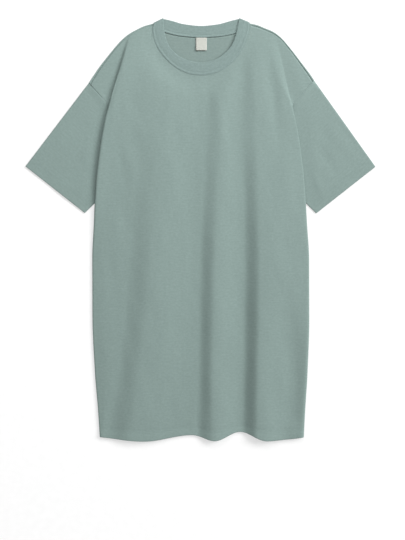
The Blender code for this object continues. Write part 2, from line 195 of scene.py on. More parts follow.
# The long waves: where each runs and how high it lies, from the wearer's right to
# the left.  Each rises steeply on the right and falls away gently to the left.
CHEST, WAIST, HIP = 240.0, -100.0, -330.0
WAVES = [
    # name          chest_x chest_z waist_x waist_z hip_x hip_z hem_x hem_z
    ("side_right", -205.0, 12.2, -224.0, 6.6, -222.0, 6.4, -232.0, 6.0),
    ("foot_right", -150.0, 10.4, -170.0, 6.0, -192.0, 6.0, -222.0, 5.9),
    ("crest_right", -100.0, 11.4, -118.0, 12.4, -142.0, 12.8, -166.0, 11.6),
    ("foot_middle", 14.0, 6.4, -1.0, 4.2, -4.0, 3.8, -8.0, 3.8),
    ("crest_middle", 46.0, 9.2, 35.0, 12.5, 30.0, 13.5, 30.0, 14.2),
    ("foot_left", 98.0, 5.6, 104.0, 4.2, 102.0, 3.8, 99.0, 3.6),
    ("crest_left", 134.0, 8.6, 141.0, 16.0, 137.0, 17.4, 135.0, 16.8),
    ("side_left", 188.0, 7.4, 208.0, 13.6, 220.0, 7.4, 222.0, 6.4),
]

# Front neckline, where the band is sewn on, and the band's free edge.
BAND_FRONT = [
    # outer_x outer_y inner_x inner_y
    (-110.7, 489.0, -87.5, 500.5), (-114.0, 475.0, -86.3, 486.5),
    (-112.0, 460.8, -84.6, 468.0), (-106.2, 440.7, -80.0, 449.0),
    (-93.5, 418.8, -72.5, 433.5), (-72.2, 395.2, -54.0, 414.5),
    (-49.1, 378.7, -35.0, 404.3), (-19.1, 368.0, -10.5, 398.2),
    (5.0, 366.3, 5.0, 396.8), (39.3, 372.9, 32.5, 402.8),
    (67.7, 390.6, 53.4, 415.2), (89.4, 413.2, 70.2, 431.8),
    (103.4, 437.3, 79.2, 447.2), (111.0, 459.0, 85.2, 465.5),
    (116.0, 476.0, 89.0, 483.8), (116.0, 490.5, 92.0, 500.5),
]

# Soft creases and unevenness that the packing and the laying out left in the jersey.
FRONT_CREASES = [
    # from_x from_y to_x to_y spread height
    (-186.0, 330.0, -120.0, 180.0, 16.0, 0.9),
    (-205.0, 250.0, -170.0, 60.0, 14.0, -0.8),
    (44.0, 350.0, 58.0, 130.0, 15.0, 1.2),
    (-60.0, 345.0, -88.0, 210.0, 22.0, 0.7),
    (158.0, 440.0, 194.0, 150.0, 14.0, -2.0),
    (-150.0, 20.0, -215.0, -120.0, 20.0, 0.7),
    (170.0, -20.0, 215.0, -160.0, 18.0, 0.8),
    (-70.0, -130.0, -95.0, -320.0, 22.0, 0.7),
    (-185.0, -240.0, -150.0, -400.0, 16.0, 0.6),
    (190.0, -260.0, 200.0, -430.0, 14.0, 0.8),
    (-40.0, -360.0, -60.0, -470.0, 15.0, 0.6),
    (232.0, -530.0, 222.0, -436.0, 22.0, 3.0),
]
FRONT_UNEVENNESS = [
    # across along height seed
    (46.0, 120.0, 1.1, 3.1),
    (17.0, 30.0, 0.28, 7.7),
]
PLAIN_TURN = 0.4        # share of the turned columns that take no crease
CREASE_END = 0.625      # share of the yoke over which the creases die out to its upper edge


def wave_heights(x, y, first, last):
    """Heights of the front along a row, between the turns of its two side folds."""
    keys, heights = [first[0]], [first[2]]
    stations = (HEM_Y, HIP, WAIST, CHEST)
    for _, *row in WAVES:
        places, levels = row[0::2][::-1], row[1::2][::-1]
        keys.append(smooth(stations, places, y))
        heights.append(smooth(stations, levels, y))
    keys.append(last[0])
    heights.append(last[2])
    return [smooth(keys, heights, place) for place in x]


def roll(start, fold, edge, t):
    """A place on the turn from the top of the body, halfway at the fold, to the edge.

    Both pulls of the curve are at the one place that brings its middle to the fold.
    """
    pull_x = (8 * fold[0] - start[0] - edge[0]) / 6
    pull_y = (8 * fold[1] - start[1] - edge[1]) / 6
    before, after = (1 - t) ** 3, t ** 3
    x = before * start[0] + 3 * t * (1 - t) * pull_x + after * edge[0]
    y = before * start[1] + 3 * t * (1 - t) * pull_y + after * edge[1]
    return x, y, mix(start[2], edge[2], ease(t))


# Shares of the way round that turn.
TURN = [1 - (1 - i / COLUMNS_ROLL) ** ROLL_CROWDING for i in range(1, COLUMNS_ROLL + 1)]


def side_points(y, side):
    """Start of the turn, fold and edge of the front at a height."""
    centre, fold, edge = (SIDES.at(name, y) for name in ("centre", "fold", "edge"))
    level = SIDES.at("right_z" if side == RIGHT else "left_z", y)
    start = (centre + side * (fold - ROLL_RUN), y, level)
    return start, (centre + side * fold, y), (centre + side * edge, y, SIDES.at("edge_z", y))


def skirt_row(y):
    """One cross-section of the front below the chest crossing."""
    right_side, left_side = side_points(y, RIGHT), side_points(y, LEFT)
    first, last = right_side[0], left_side[0]
    count = 2 * COLUMNS_SHOULDER + COLUMNS_NECK
    middle_x = [mix(first[0], last[0], i / count) for i in range(count + 1)]
    middle_z = wave_heights(middle_x, y, first, last)
    row = [roll(*right_side, t) for t in reversed(TURN)]
    row += [(x, y, z) for x, z in zip(middle_x, middle_z)]
    row += [roll(*left_side, t) for t in TURN]
    swing = max(0.0, 1 - (y - HEM_Y) / HEM_SWING) ** 2
    if not swing:
        return row
    return [(x, v + swing * (HEM.at("y", x) - HEM_Y), z) for x, v, z in row]


def shoulder_y(side, x):
    """Height of a shoulder line at a half width."""
    return SHOULDER.at("right_y" if side == RIGHT else "left_y", x)


def shoulder_row(side):
    """Shoulder line of the front, from the armhole in to the last place before the neck."""
    fold_x = YOKE_FOLD_X[side]
    near = [fold_x - ROLL_RUN * (1 - i / COLUMNS_FOLD) for i in range(1, COLUMNS_FOLD + 1)]
    far = COLUMNS_ROLL - COLUMNS_FOLD
    beyond = [mix(fold_x, ARMHOLE_TOP[side][0], ease(i / far)) for i in range(1, far + 1)]
    places = (near + beyond)[::-1]
    neck_x = abs(BAND_FRONT[0 if side == RIGHT else -1][0])
    places += [mix(fold_x - ROLL_RUN, neck_x, i / COLUMNS_SHOULDER) for i in range(COLUMNS_SHOULDER)]
    return [(side * x, shoulder_y(side, x), SHOULDER_LEVEL) for x in places]


def yoke_fold_height(side, x, y, t, high):
    """Height of the cloth beside the side fold, as it runs out into the shoulder.

    On the right the fold has an upright edge, on the left it rounds off more and more.
    """
    foot = np.array((SIDES.at("fold", CHEST_CROSSING), CHEST_CROSSING))
    head = np.array((YOKE_FOLD_X[side], shoulder_y(side, YOKE_FOLD_X[side])))
    way = length_one(head - foot)
    outside = way[1] * (abs(x) - foot[0]) - way[0] * (y - foot[1])
    low = mix(THIRD_LAYER, YOKE_LOW_LAYER, ease(t / YOKE_SETTLE))
    swell = YOKE_SWELL[side] * math.sin(math.pi * t)
    low += swell * math.exp(-((outside - SWELL_PLACE) / SWELL_SPREAD) ** 2)
    if side == RIGHT:
        widened = ease((t - UPRIGHT_SHARES[0]) / UPRIGHT_SHARES[1])
        return mix(high, low, ease(outside / mix(*UPRIGHT_WIDTHS, widened) + UPRIGHT_INSIDE))
    width = mix(*ROUND_WIDTHS, ease(t / ROUND_SHARE))
    return mix(high, low, np.clip(1 + outside / width, 0, 1) ** ROUND_FALL)


def top_row():
    """Upper cut edge of the front: shoulder, neckline and shoulder."""
    neckline = []
    for i, (x, y, _, _) in enumerate(along(BAND_FRONT, COLUMNS_NECK)):
        from_corner = min(i, COLUMNS_NECK - i) / COLUMNS_NECK
        neckline.append((x, y, mix(NECK_CORNER_LEVEL, NECK_LEVEL, ease(from_corner / NECK_CORNER))))
    return shoulder_row(RIGHT) + neckline + shoulder_row(LEFT)[::-1]


def yoke_row(base, top, t):
    """One row of the front a share of the way from the chest crossing to its upper edge."""
    row = [(mix(a[0], b[0], t), mix(a[1], b[1], t), mix(a[2], b[2], t ** YOKE_FALL))
           for a, b in zip(base, top)]
    left_start = len(row) - COLUMNS_ROLL - COLUMNS_FOLDED
    for side, beside, inner in ((RIGHT, range(COLUMNS_ROLL), COLUMNS_ROLL),
                                (LEFT, range(left_start, len(row)), left_start - 1)):
        high = row[inner][2]
        for j in beside:
            x, y, z = row[j]
            row[j] = (x, y, mix(z, yoke_fold_height(side, x, y, t, high), ease(t / YOKE_START)))
    return row


def facing(places, ring=False, tube=False):
    """Unit vectors that stand on the cloth at each place of a grid."""
    def step(axis, closed):
        if closed:
            return np.roll(places, -1, axis) - np.roll(places, 1, axis)
        return np.gradient(places, axis=axis)
    return length_one(np.cross(step(1, tube), step(0, ring)))


def creased(places, creases, share):
    """Lifts and lowers a grid along soft listed lines."""
    for from_x, from_y, to_x, to_y, spread, height in creases:
        way = np.array((to_x - from_x, to_y - from_y))
        length = np.linalg.norm(way)
        way = way / length
        gone = places[..., :2] - (from_x, from_y)
        done = np.clip(gone @ way / length, 0, 1)
        aside = gone @ np.array((-way[1], way[0]))
        lift = height * np.exp(-(aside / spread) ** 2) * np.sin(np.pi * done) ** 2
        places[..., 2] += lift * share
    return places


def uneven(places, unevenness, share):
    """Gives a grid the slight unevenness of cloth that was smoothed by hand."""
    for across, length, height, seed in unevenness:
        lift = np.array([[noise.noise(Vector((x / across, y / length, seed))) for x, y, _ in row]
                         for row in places])
        places[..., 2] += lift * height * share
    return places


def flat_places(places):
    """Where each place of a grid lies on the flat cloth, in metres."""
    across = np.hypot(np.diff(places[..., 0], axis=1), np.diff(places[..., 2], axis=1))
    u = np.concatenate([np.zeros((len(places), 1)), np.cumsum(across, axis=1)], axis=1)
    u -= u[:, u.shape[1] // 2][:, None]
    return np.stack([u, places[..., 1]], axis=2) * MM


FOLD_ANGLES = [math.pi / 4, math.pi / 2, 0.75 * math.pi]


def folded_edge(middle, ahead, stand, radius, angles):
    """Lines round a folded edge, from the side that stand points to over to the other."""
    return [middle + radius * (ahead * math.sin(a) + stand * math.cos(a)) for a in angles]


def turned_hem(places, flat, rows, inside, tube=False):
    """Adds the hem below the first rows: the folded edge and the layer turned in."""
    stand = facing(places, tube=tube) * inside
    inner = (places + 2 * HEM_TURN * stand)[rows:0:-1]
    angles = [math.pi, *FOLD_ANGLES[::-1]]
    turn = folded_edge(places[0] + HEM_TURN * stand[0], length_one(places[0] - places[1]),
                       -stand[0], HEM_TURN, angles)
    flat_inner = (2 * flat[0] - flat)[rows:0:-1]
    flat_inner[..., 0] = flat[rows:0:-1, :, 0]
    flat_turn = [flat[0] + (0, -HEM_TURN * a * MM) for a in angles]
    return np.concatenate([inner, turn, places]), np.concatenate([flat_inner, flat_turn, flat])


def cloth_mesh(name, places, flat, ring=False, tube=False):
    """A mesh of quads through a grid of places; ring and tube close its rows and columns."""
    height, width = places.shape[:2]
    number = np.arange(height * width).reshape(height, width)
    if ring:
        number = np.concatenate([number, number[:1]], axis=0)
    if tube:
        number = np.concatenate([number, number[:, :1]], axis=1)
    corners = [(slice(None, -1), slice(None, -1)), (slice(None, -1), slice(1, None)),
               (slice(1, None), slice(1, None)), (slice(1, None), slice(None, -1))]
    faces = np.stack([number[c] for c in corners], axis=2).reshape(-1, 4)
    mesh = bpy.data.meshes.new(name)
    in_frame = (places.reshape(-1, 3) - (0, MIDDLE_Y, 0)) * MM
    mesh.from_pydata(in_frame.tolist(), [], faces.tolist())
    layer = mesh.uv_layers.new(name="flat_cloth")
    layer.data.foreach_set("uv", np.stack([flat[c] for c in corners], axis=2).ravel())
    mesh.shade_smooth()
    return mesh


def sewn_piece(name, mesh, wall, material, other_face=None):
    """An object of one cut and sewn piece, with its wall and the finish of each face."""
    item = bpy.data.objects.new(name, mesh)
    bpy.context.scene.collection.objects.link(item)
    mesh.materials.append(material)
    if wall:
        shell = item.modifiers.new("wall", "SOLIDIFY")
        shell.thickness = wall * MM
        shell.offset = 0.0
    if other_face:
        mesh.materials.append(other_face)
        shell.material_offset = 1
    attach(item, "root")
    return item


def linear(code):
    """An sRGB hex colour as linear red, green, blue and alpha."""
    parts = [int(code[i:i + 2], 16) / 255 for i in (1, 3, 5)]
    return (*(c / 12.92 if c <= 0.04045 else ((c + 0.055) / 1.055) ** 2.4 for c in parts), 1.0)


def add_node(owner, kind, settings=(), links=(), colours=()):
    """One node: its settings by property or socket name, its links and its ramp's colours."""
    node = owner.node_tree.nodes.new("ShaderNode" + kind)
    for name, value in dict(settings).items():
        if isinstance(name, str) and name[0].islower():
            setattr(node, name, value)
        else:
            node.inputs[name].default_value = value
    for name, (source, output) in dict(links).items():
        owner.node_tree.links.new(source.outputs[output], node.inputs[name])
    for place, _ in colours[2:]:
        node.color_ramp.elements.new(place)
    for i, (place, code) in enumerate(colours):
        node.color_ramp.elements[i].position = place
        node.color_ramp.elements[i].color = linear(code)
    return node


def new_material(name, settings):
    """A node material with its shader's constant settings."""
    material = bpy.data.materials.new(name)
    material.use_nodes = True
    for socket, value in settings.items():
        material.node_tree.nodes["Principled BSDF"].inputs[socket].default_value = value
    return material


def surface_of(material, colour, relief=None):
    """Gives a material's shader its colour and its relief."""
    inputs = material.node_tree.nodes["Principled BSDF"].inputs
    material.node_tree.links.new(colour.outputs["Color"], inputs["Base Color"])
    if relief:
        material.node_tree.links.new(relief.outputs["Normal"], inputs["Normal"])


WALE = 2.0      # mm between columns of stitches; real ones are 0.9 mm, too fine to show
COURSE = 1.6    # mm between rows of stitches; real ones are 0.7 mm
SLUB = (22.2, 2.78)     # mm along a row of yarn and across it; real ones are a third as thick
TUFT = (5.88, 4.35)     # mm; real tufts of fibre are under 2 mm, too fine to show
KNIT_RELIEF = 0.5       # mm from the gaps between stitches to their tops
WAVE_TURNS = 2 * math.pi / 20   # scale of a wave texture with one band per unit


def crossed_rows(material, flat, spacings, unevenness, detail):
    """Rows both ways over the flat cloth, of stitches or of threads, at spacings in mm."""
    up, across = (add_node(material, "TexWave", {"bands_direction": way, "Detail": detail,
                                                 "Scale": WAVE_TURNS / (spacing * MM),
                                                 "Distortion": distortion}, {"Vector": (flat, "UV")})
                  for way, spacing, distortion in zip("XY", spacings, unevenness))
    return add_node(material, "Math", {"operation": "MULTIPLY"}, {0: (up, "Fac"), 1: (across, "Fac")})


def knit_material(name, colours, wale, relief):
    """Cotton knit: matt, slightly fuzzy, with fine uneven rows from the slubs in its yarn."""
    material = new_material(name, {
        "Roughness": 0.92, "Specular IOR Level": 0.1,
        "Sheen Weight": 0.06, "Sheen Roughness": 0.6, "Sheen Tint": linear("#C4D8D0")})
    flat = add_node(material, "UVMap", {"uv_map": "flat_cloth"})
    spots = []
    for size, detail, roughness in ((SLUB, 2.0, 0.6), (TUFT, 3.0, 0.65)):
        scaled = add_node(material, "Mapping", {"Scale": (1 / (size[0] * MM), 1 / (size[1] * MM), 1.0)},
                          {"Vector": (flat, "UV")})
        spots.append(add_node(material, "TexNoise", {"Scale": 1.0, "Detail": detail, "Roughness": roughness},
                              {"Vector": (scaled, 0)}))
    # The inputs 0, 2 and 3 of a mix are the share of its second number and the two numbers.
    grain = add_node(material, "Mix", {"data_type": "FLOAT", 0: 0.68}, {2: (spots[0], 0), 3: (spots[1], 0)})
    loops = crossed_rows(material, flat, (wale, COURSE), (0.6, 0.9), 1.0)
    height = add_node(material, "Mix", {"data_type": "FLOAT", 0: 0.5}, {2: (loops, 0), 3: (grain, 0)})
    surface_of(material, add_node(material, "ValToRGB", {}, {"Fac": (grain, 0)}, colours),
               add_node(material, "Bump", {"Strength": relief, "Distance": KNIT_RELIEF * MM},
                        {"Height": (height, 0)}))
    return material


JERSEY_COLOURS = [(0.30, "#738480"), (0.5, "#798A86"), (0.70, "#7F908C")]
jersey = knit_material("cotton_single_jersey", JERSEY_COLOURS, WALE, 0.25)
# Its reverse shows the arcs of the loops and is coloured a little darker: partly the duller look of that
# face, partly painted shade for where it shows in the shade of the neck opening.
REVERSE_COLOURS_WITH_PAINTED_SHADE = [(0.30, "#6E7E7B"), (0.5, "#748480"), (0.70, "#7A8A86")]
jersey_reverse = knit_material("cotton_single_jersey_reverse_painted_shade", REVERSE_COLOURS_WITH_PAINTED_SHADE, WALE, 0.3)

# The stitching is spun polyester, dyed to the cloth and a little glossier.
thread = new_material("spun_polyester_thread", {"Roughness": 0.55, "Specular IOR Level": 0.4})
TWIST = 1.1     # mm along one turn of the plies
thread_place = add_node(thread, "TexCoord")
thread_twist = add_node(thread, "TexNoise", {"Scale": 1 / (TWIST * MM), "Detail": 2.0},
                        {"Vector": (thread_place, "Object")})
surface_of(thread, add_node(thread, "ValToRGB", {}, {"Fac": (thread_twist, 0)},
                            [(0.35, "#6C7F7B"), (0.65, "#768985")]))

STITCH_PITCH = 3.2      # real stitches are 2.6 mm apart; drawn a little longer so that they show
STITCH_SIZE = (2.5, 0.5, 0.45)  # length, width and height
STITCH_LIFT = CLOTH / 2 + 0.02  # above the middle of the cloth
STITCH_AIM = 0.5        # a stitch points from this far before its middle to as far beyond it

bpy.ops.mesh.primitive_uv_sphere_add(segments=6, ring_count=4, radius=0.5, location=(0, 0, 0))
pattern = bpy.context.object
pattern.rotation_euler = (0, math.pi / 2, 0)
bpy.ops.object.transform_apply(location=False, rotation=True, scale=False)
pattern.scale = STITCH_SIZE
bpy.ops.object.transform_apply(location=False, rotation=False, scale=True)
stitch_points = np.array([tuple(v.co) for v in pattern.data.vertices])
stitch_faces = [tuple(p.vertices) for p in pattern.data.polygons]
bpy.data.objects.remove(pattern)


def stitch_row(name, line, stand, lift=STITCH_LIFT):
    """A row of stitches on the cloth along a line of places; stand points away from the cloth."""
    reach = np.concatenate([[0], np.cumsum(np.linalg.norm(np.diff(line, axis=0), axis=1))])

    def at(values, place):
        return np.array([np.interp(place, reach, values[:, n]) for n in range(3)])

    count = int(reach[-1] // STITCH_PITCH)
    points, faces = [], []
    for i in range(count):
        middle = (i + 0.5) * reach[-1] / count
        ahead = length_one(at(line, middle + STITCH_AIM) - at(line, middle - STITCH_AIM))
        side = length_one(np.cross(at(stand, middle), ahead))
        up = np.cross(ahead, side)
        placed = at(line, middle) + up * lift + stitch_points @ np.array([ahead, side, up])
        faces += [tuple(n + len(points) * len(stitch_points) for n in face) for face in stitch_faces]
        points.append(placed)
    mesh = bpy.data.meshes.new(name)
    mesh.from_pydata(((np.concatenate(points) - (0, MIDDLE_Y, 0)) * MM).tolist(), [], faces)
    mesh.shade_smooth()
    return sewn_piece(name, mesh, 0, thread)


heights = [HEM_Y + HEM_DEPTH * i / HEM_ROWS for i in range(HEM_ROWS)]
heights += [mix(HEM_Y + HEM_DEPTH, CHEST_CROSSING, i / ROWS_SKIRT) for i in range(ROWS_SKIRT + 1)]
rows = [skirt_row(y) for y in heights]
base, top = rows[-1], top_row()
rows += [yoke_row(base, top, 1 - (1 - i / ROWS_YOKE) ** YOKE_CROWDING) for i in range(1, ROWS_YOKE + 1)]
front_places = np.array(rows)
neck_columns = slice(COLUMNS_ROLL + COLUMNS_SHOULDER, -(COLUMNS_ROLL + COLUMNS_SHOULDER))
neckline, yoke_places = front_places[-1, neck_columns], front_places[-ROWS_YOKE - 1:]
from_neck = np.linalg.norm(yoke_places[:, :, None, :2] - neckline[:, :2], axis=3)
at_neckline = np.exp(-(from_neck.min(axis=2) / NECK_SPREAD) ** 2)
yoke_places[..., 2] = mix(yoke_places[..., 2], neckline[from_neck.argmin(axis=2), 2], at_neckline)

# The creases leave out the turned sides and die out towards the upper edge.
columns = front_places.shape[1]
from_side = np.minimum(np.arange(columns), np.arange(columns)[::-1])
from_top = np.arange(len(rows))[::-1] / ROWS_YOKE
free = ease(from_side / COLUMNS_ROLL - PLAIN_TURN) * ease(from_top / CREASE_END)[:, None]
front_places = creased(front_places, FRONT_CREASES, free)
front_places = uneven(front_places, FRONT_UNEVENNESS, free)

# The seams sink a little: the neckline beside the band, and the armhole above the fold.
SEAM_GROOVE = 1.2       # half width of the groove at an armhole
ARMHOLE_SINK = {RIGHT: 0.3, LEFT: 0.45}
STITCH_GROOVE, STITCH_SINK = 1.6, 0.4
NECK_SINK = 0.12
NECK_BLEND = 8          # columns over which the neckline's finish becomes the shoulder's
from_middle = np.abs(np.arange(columns) - columns // 2)
at_neck = ease((COLUMNS_NECK / 2 - from_middle) / NECK_BLEND + 0.5)
to_top = np.linalg.norm(front_places - front_places[-1], axis=2)
front_places[..., 2] -= at_neck * NECK_SINK * np.exp(-(to_top / STITCH_GROOVE) ** 2)

# Within the armhole seam lies its allowance, which lifts a strip of the cloth.  The
# shoulder seam sinks in just inside the edge, where the cloth turns down to the back.
SHOULDER_TURN, SHOULDER_EDGE = 2.0, 1.45    # width of that turn, and its level
SHOULDER_SEAM, SHOULDER_GROOVE = 5.2, 1.4   # how far in the seam is, and its half width
SHOULDER_SINK = {RIGHT: 0.8, LEFT: 1.9}
SHOULDER_LIP = {RIGHT: 1.7, LEFT: 0.4}      # how much lower the strip outside the seam lies
LIP = SHOULDER_SEAM + 1.0                   # width of that strip
ALLOWANCE, ALLOWANCE_LIFT = 6.5, 0.35
STEP = 2.2              # how far the edge of an allowance shows through
YOKE_BLEND = 3          # rows over which the armhole seam comes in sight


def within(place, distance):
    """1 nearer to a seam than a place, 0 further away, with a soft step between."""
    return ease((place - distance) / STEP + 0.5)


on_right = np.arange(columns) < columns // 2
groove = np.exp(-((to_top - SHOULDER_SEAM) / SHOULDER_GROOVE) ** 2)
groove *= np.where(on_right, SHOULDER_SINK[RIGHT], SHOULDER_SINK[LEFT])
lip = np.where(on_right, SHOULDER_LIP[RIGHT], SHOULDER_LIP[LEFT]) * within(LIP, to_top)
front_places[..., 2] -= (1 - at_neck) * (groove + lip)
yoke = ease((np.arange(len(rows)) - len(heights) - 1) / YOKE_BLEND + 1)[:, None]
for side, edge in ((RIGHT, 0), (LEFT, -1)):
    to_edge = np.linalg.norm(front_places - front_places[:, edge][:, None], axis=2)
    front_places[..., 2] -= yoke * ARMHOLE_SINK[side] * np.exp(-(to_edge / SEAM_GROOVE) ** 2)
    front_places[..., 2] += yoke * ALLOWANCE_LIFT * within(ALLOWANCE, to_edge)
turned_down = (1 - at_neck) * np.clip(1 - to_top / SHOULDER_TURN, 0, 1) ** 2
front_places[..., 2] = mix(front_places[..., 2], SHOULDER_EDGE, turned_down)

# The hem is a little thicker than the cloth above it, and its stitching sinks in.
HEM_STITCHING = (16.0, 21.0)    # rows of stitches above the hem's edge
HEM_LIFT, HEM_CURL = 0.2, 0.9   # how far the hem and its free edge rise
HEM_STEP = 4.0                  # width of the step to the cloth above
TOP_START, TOP_BLEND = 0.7, 4   # share of the turned columns without it, and columns to its full
above_hem = (np.array(heights + [CHEST_CROSSING] * ROWS_YOKE) - HEM_Y)[:, None]
on_top = ease((from_side - TOP_START * COLUMNS_ROLL) / TOP_BLEND)
front_places[..., 2] += on_top * HEM_LIFT * np.clip((HEM_DEPTH - above_hem) / HEM_STEP, 0, 1)
front_places[..., 2] += on_top * HEM_CURL * np.clip(1 - above_hem / HEM_STITCHING[0], 0, 1)
for row_above in HEM_STITCHING:
    front_places[..., 2] -= on_top * STITCH_SINK * np.exp(-((above_hem - row_above) / STITCH_GROOVE) ** 2)

front_stand = facing(front_places)
hemmed, hemmed_flat = turned_hem(front_places, flat_places(front_places), HEM_ROWS, -1)
front = sewn_piece("front_panel", cloth_mesh("front_panel", hemmed, hemmed_flat), CLOTH, jersey,
                   jersey_reverse)


def line_above_hem(places, stand, spacing, distance):
    """Places and standing vectors on a line at a distance above a hem."""
    i = int(distance // spacing)
    t = distance / spacing - i
    return mix(places[i], places[i + 1], t), mix(stand[i], stand[i + 1], t)


for n, row_above in enumerate(HEM_STITCHING, 1):
    line, stand = line_above_hem(front_places, front_stand, HEM_DEPTH / HEM_ROWS, row_above)
    stitch_row(f"front_hem_stitching_{n}", line, stand)

# The topstitching runs beside the band, and the places near it give its height: each
# counts by its distance to the power -4, with a little added so that none is 0.
TOPSTITCH = 1.8         # from the neck seam
NEAREST = 0.05
NECK_ENDS = 2           # columns at each end of the neckline that it leaves out
around_neck = front_places[-1, neck_columns][NECK_ENDS:-NECK_ENDS].copy()
ahead = length_one(np.gradient(around_neck[:, :2], axis=0))
around_neck[:, :2] += TOPSTITCH * np.stack([ahead[:, 1], -ahead[:, 0]], axis=1)
near_places, near_stand = (grid[-ROWS_YOKE:].reshape(-1, 3) for grid in (front_places, front_stand))
weight = (np.linalg.norm(around_neck[:, None, :2] - near_places[:, :2], axis=2) + NEAREST) ** -4
weight /= weight.sum(axis=1, keepdims=True)
around_neck[:, 2] = weight @ near_places[:, 2]
stitch_row("neck_topstitching", around_neck, weight @ near_stand)

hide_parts("front")

# ============================================================ back panel
# Cut in one piece of the same jersey, with a higher neckline and its own turned-up
# hem.  It lies flat on the table, and its inside shows through the neck opening.
ROWS_BACK = 120
COLUMNS_BACK = (20, 56)         # on each side of the neckline, and along it
BAND_BACK = [
    # outer_x outer_y inner_x inner_y
    (116.0, 490.5, 92.0, 500.5), (103.5, 478.5, 84.0, 498.8), (85.0, 467.4, 72.0, 495.8),
    (45.0, 459.0, 42.0, 487.8), (2.4, 456.4, 2.4, 484.0), (-40.0, 459.2, -37.0, 487.8),
    (-80.0, 467.6, -67.0, 495.8), (-98.5, 477.6, -79.5, 498.8), (-110.7, 489.0, -87.5, 500.5),
]
BACK_HEM = Table("x y", [
    (-214.0, -484.0), (-150.0, -477.0), (0.0, -472.0), (150.0, -472.0), (219.0, -484.0),
])
BACK_CREASES = [
    (-160.0, 300.0, -120.0, 60.0, 16.0, 0.5), (90.0, 320.0, 60.0, 90.0, 18.0, 0.5),
    (150.0, 60.0, 175.0, -180.0, 15.0, 0.5), (-60.0, 0.0, -95.0, -240.0, 18.0, 0.5),
    (20.0, -150.0, 45.0, -420.0, 16.0, 0.5), (-170.0, -220.0, -150.0, -430.0, 14.0, 0.5),
    (-30.0, 440.0, -45.0, 360.0, 14.0, 0.3), (50.0, 445.0, 62.0, 380.0, 12.0, 0.3),
]
ROWS_BACK_YOKE = 40
BACK_HEM_ROWS = 3
HEM_BLEND = 60.0        # how far up the rows slide to the back's own hem line
PLAIN_EDGE, EDGE_BLEND = 2, 5   # columns at each side without creases, and on to their full
BACK_STITCHES_LOWER = 2.0       # the back's turned hem ends a little lower
STITCHES_UNDERNEATH = CLOTH / 2 - 0.1       # the back's weight presses them in


def back_row(y):
    """Places across the back at a height, from side seam to side seam."""
    shift, seam = SIDES.at("centre", y), SIDES.at("edge", y)
    count = 2 * COLUMNS_BACK[0] + COLUMNS_BACK[1]
    return [(shift + seam * (2 * i / count - 1), y) for i in range(count + 1)]


def back_shoulder(side):
    """Shoulder of the back, from the armhole in to the last place before the neck."""
    neck_x = abs(BAND_BACK[0 if side == LEFT else -1][0])
    steps = COLUMNS_BACK[0]
    places = [mix(ARMHOLE_TOP[side][0], neck_x, i / steps) for i in range(steps)]
    return [(side * x, shoulder_y(side, x)) for x in places]


back_heights = [mix(HEM_Y, CHEST_CROSSING, i / ROWS_BACK) for i in range(ROWS_BACK + 1)]
rows = [back_row(y) for y in back_heights]
neckline = [(x, y) for x, y, _, _ in along(BAND_BACK, COLUMNS_BACK[1])][::-1]
base, top = rows[-1], back_shoulder(RIGHT) + neckline + back_shoulder(LEFT)[::-1]
for i in range(1, ROWS_BACK_YOKE + 1):
    t = i / ROWS_BACK_YOKE
    rows.append([(mix(a[0], b[0], t), mix(a[1], b[1], t)) for a, b in zip(base, top)])
for i, y in enumerate(back_heights):
    share = ease(1 - (y - HEM_Y) / HEM_BLEND)
    rows[i] = [(x, v + share * (BACK_HEM.at("y", x) - HEM_Y)) for x, v in rows[i]]
back_places = np.array([[(x, y, FLOOR_LAYER) for x, y in row] for row in rows])
columns = back_places.shape[1]
from_side = np.minimum(np.arange(columns), np.arange(columns)[::-1])
back_places = creased(back_places, BACK_CREASES, ease((from_side - PLAIN_EDGE) / EDGE_BLEND))
hemmed, hemmed_flat = turned_hem(back_places, flat_places(back_places), BACK_HEM_ROWS, 1)
# Its inside faces up, in the reverse colours with their painted shade.
back = sewn_piece("back_panel", cloth_mesh("back_panel", hemmed, hemmed_flat), CLOTH, jersey_reverse,
                  jersey)
spacing = math.dist(back_places[1, columns // 2], back_places[0, columns // 2])
for n, row_above in enumerate(HEM_STITCHING, 1):
    line, stand = line_above_hem(back_places, facing(back_places), spacing,
                                 row_above - BACK_STITCHES_LOWER)
    stitch_row(f"back_hem_stitching_{n}", line, -stand, STITCHES_UNDERNEATH)
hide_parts("back")

# ============================================================ sleeves
# Each is one piece of jersey, closed by an underarm seam into a flat tube and set
# into the armhole.  The cuff is turned in 20 mm and twin stitched like the hem.
CUFFS = {   # outer corner and underarm corner
    RIGHT: ((413.7, 152.2), (273.0, 41.5)),
    LEFT: ((414.4, 151.3), (273.8, 40.7)),
}
UNDERARM_Y = 78.0
SECOND_LAYER = 2.1      # middle of the sleeve's upper layer under the body's side
SLEEVE_RISE = 1.2       # how much higher it lies where it is free
SLEEVE_ROUND = 0.6      # power of the sine that it rises by across the sleeve
SLEEVE_ROLL = 0.6       # how much rounder these are where they are free
SLEEVE_EDGES = 0.1      # share of the width over which they set the height
SLEEVE_REST = 2.0       # how far outside the body's fold the sleeve begins to rise
SLEEVE_RAMP = 36.0      # and over what length
CREASE_ROUND = 0.5      # power of the sine that the creases come up by
SEAM_SLOPE = 14.0       # how far the sleeve rises to the armhole seam
FOLD_COVER = 12.0       # how far below the chest crossing that rise fades out
PRESSED_IN = 0.2        # how far the stitches underneath sink into the cloth
ACROSS_SLEEVE = 44
ROWS_SLEEVE = 40
ROWS_CUFF = 8
SLEEVE_CROWDING = 1.8   # rows stand closer together towards the armhole
EDGE_ANGLES = [math.radians(a) for a in (30, 60, 90, 120, 150)]     # places round a folded edge
